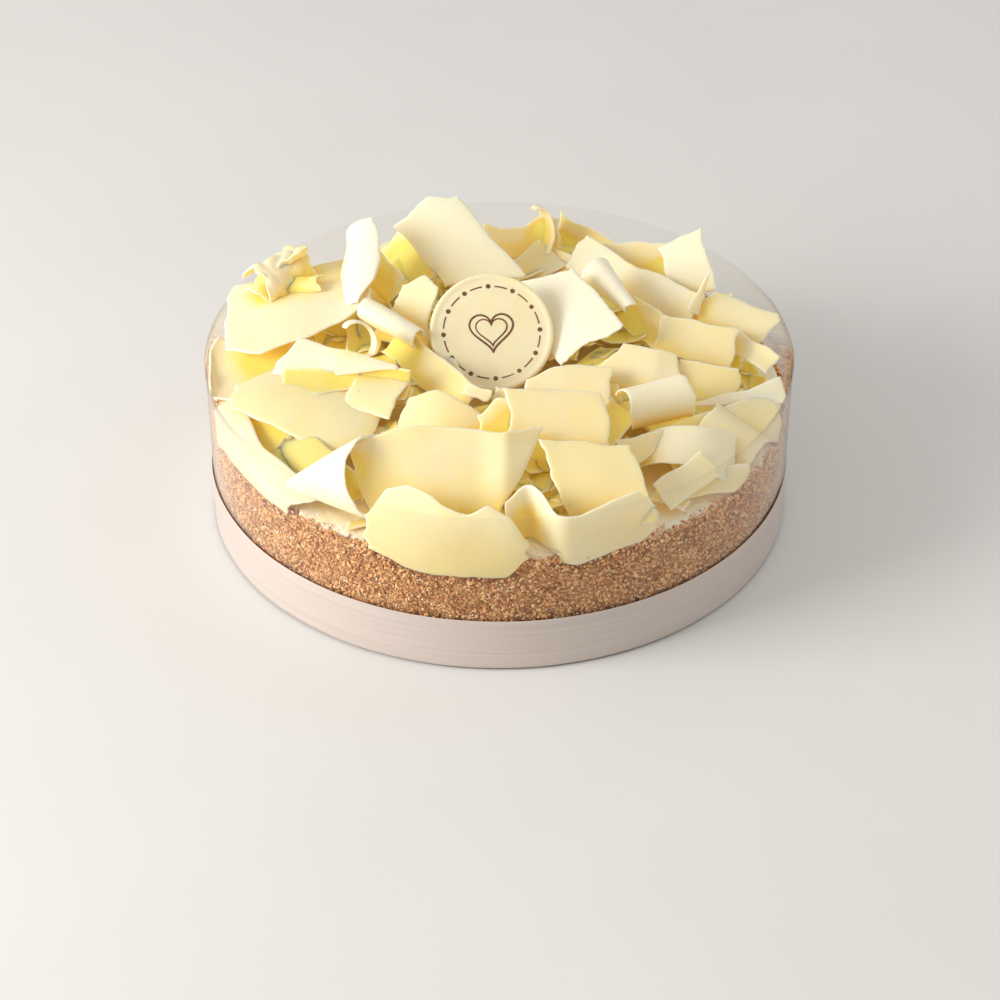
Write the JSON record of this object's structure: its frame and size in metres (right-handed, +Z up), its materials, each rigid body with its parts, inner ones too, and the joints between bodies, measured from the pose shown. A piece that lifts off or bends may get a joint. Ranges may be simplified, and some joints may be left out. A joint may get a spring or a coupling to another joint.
{
  "type": "birthday cake",
  "caption": "Round crumb-sided cream cake with a clear film collar and satin ribbon, topped with a heap of large curled white chocolate shavings and a plain round chocolate plaque",
  "frame": {"origin": "centre of the underside, on the surface the cake stands on", "axes": "+Z up, -Y towards the front of the plaque, +X to the right of the plaque"},
  "size_m": [0.2026, 0.2025, 0.086],
  "materials": {
    "crumb_coat": "toasted golden brown biscuit crumbs, dry and grainy",
    "cream": "soft off-white whipped cream, slightly uneven",
    "clear_film": "thin clear glossy acetate strip",
    "satin_ribbon": "pale beige satin with a soft sheen and fine woven edges",
    "plaque_chocolate": "smooth moulded white chocolate with a fine brown printed ornament",
    "white_chocolate": "creamy pale yellow white chocolate, satin smooth with thin bright edges"
  },
  "bodies": {
    "root": {"cake_body": "crumb_coat", "cream_top": "cream", "film_collar": "clear_film", "ribbon": "satin_ribbon", "plaque": "plaque_chocolate", "shavings_bed": "white_chocolate", "back_tall": "white_chocolate", "left_wide": "white_chocolate", "left_flap": "white_chocolate", "left_crumple": "white_chocolate", "small_lip": "white_chocolate", "tan_back": "white_chocolate", "by_plaque": "white_chocolate", "roll_left": "white_chocolate", "hook_left": "white_chocolate", "point_left": "white_chocolate", "under_point": "white_chocolate", "left_cup": "white_chocolate", "left_front": "white_chocolate", "left_rim": "white_chocolate", "cone": "white_chocolate", "front_centre": "white_chocolate", "front_arch": "white_chocolate", "front_right": "white_chocolate", "right_mid_front": "white_chocolate", "centre_mid": "white_chocolate", "centre_small": "white_chocolate", "centre_dome": "white_chocolate", "strip_long": "white_chocolate", "tube_mid": "white_chocolate", "sheet_mid": "white_chocolate", "under_plaque": "white_chocolate", "chip_a": "white_chocolate", "chip_b": "white_chocolate", "right_plaque": "white_chocolate", "right_low": "white_chocolate", "back_mid": "white_chocolate", "back_hook": "white_chocolate", "back_tan": "white_chocolate", "back_long": "white_chocolate", "white_roll": "white_chocolate", "back_yellow": "white_chocolate", "back_peak": "white_chocolate", "spike": "white_chocolate", "right_film": "white_chocolate", "right_square": "white_chocolate", "right_strip": "white_chocolate", "right_blade": "white_chocolate", "right_yellow": "white_chocolate", "right_tube": "white_chocolate", "right_upper": "white_chocolate", "right_inner": "white_chocolate", "right_arch": "white_chocolate", "right_back_arch": "white_chocolate", "right_leaf": "white_chocolate", "right_lower": "white_chocolate", "right_rim": "white_chocolate", "mid_tan": "white_chocolate", "back_low": "white_chocolate"}
  },
  "joints": []
}
